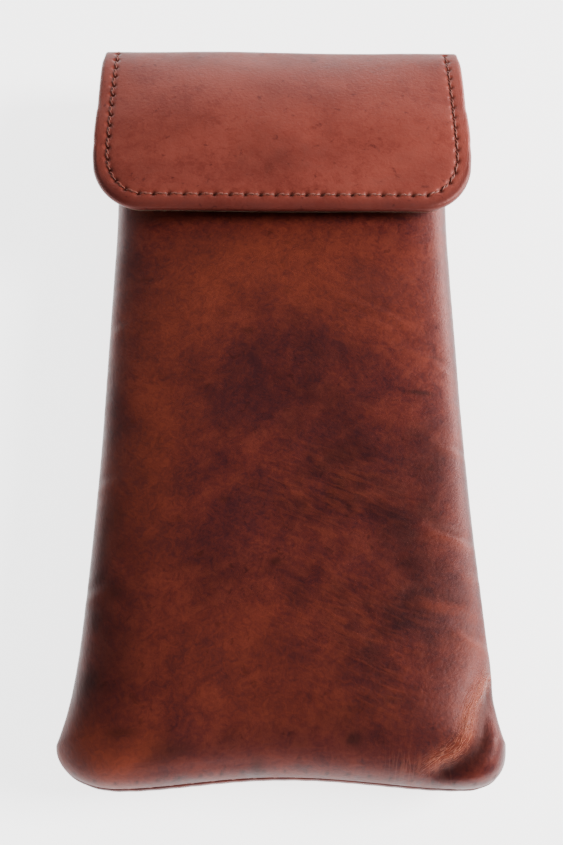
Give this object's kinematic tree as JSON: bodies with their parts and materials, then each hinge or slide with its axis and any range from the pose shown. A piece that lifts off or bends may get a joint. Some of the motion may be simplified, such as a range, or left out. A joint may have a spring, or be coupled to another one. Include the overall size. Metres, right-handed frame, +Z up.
{
  "type": "eyeglasses case",
  "caption": "Soft padded leather case for folded eyeglasses: a turned pouch with a rounded flap that folds over its mouth and closes with a hidden magnetic snap.",
  "frame": {"origin": "on the resting plane, under the middle of the case, which lies on its back", "axes": "+X across the case to the right as seen with the flap at the far end, +Y along it from the bottom seam to the fold of the flap, +Z up from the back to the front"},
  "size_m": [0.088, 0.1828, 0.0283],
  "materials": {
    "body_leather": "waxed pull-up leather, semi-gloss",
    "flap_leather": "waxed pull-up leather, smooth, satin",
    "suede": "suede lining, matt",
    "foam": "foam padding",
    "thread": "waxed thread",
    "brass": "polished, lightly worn",
    "steel": "plain sheet steel",
    "ferrite": "sintered ferrite magnet, matt",
    "card": "stiff board"
  },
  "bodies": {
    "pouch": {"front_panel": "body_leather", "back_panel": "body_leather", "front_padding": "foam", "back_padding": "foam", "front_lining": "suede", "back_lining": "suede", "seam_thread": "thread", "mouth_thread": "thread", "socket_shell": "brass", "socket_magnet": "ferrite", "socket_base": "steel", "socket_washer": "steel", "socket_patch": "card"},
    "fold": {"fold_leather": "flap_leather", "fold_lining": "suede", "fold_thread": "thread"},
    "flap": {"flap_panel": "flap_leather", "flap_board": "card", "flap_lining": "suede", "flap_thread": "thread", "stud_plate": "brass", "stud_nub": "brass", "stud_prongs": "steel", "stud_washer": "steel"}
  },
  "joints": [
    {"name": "fold_hinge", "type": "hinge", "parent": "pouch", "child": "fold", "pos_m": [0, 0.0896, 0.00514], "axis": [-1, 0, 0], "range_deg": [0, 80]},
    {"name": "flap_hinge", "type": "hinge", "parent": "fold", "child": "flap", "pos_m": [0, 0.09002, 0.01833], "axis": [-1, 0, 0], "range_deg": [0, 95]}
  ]
}
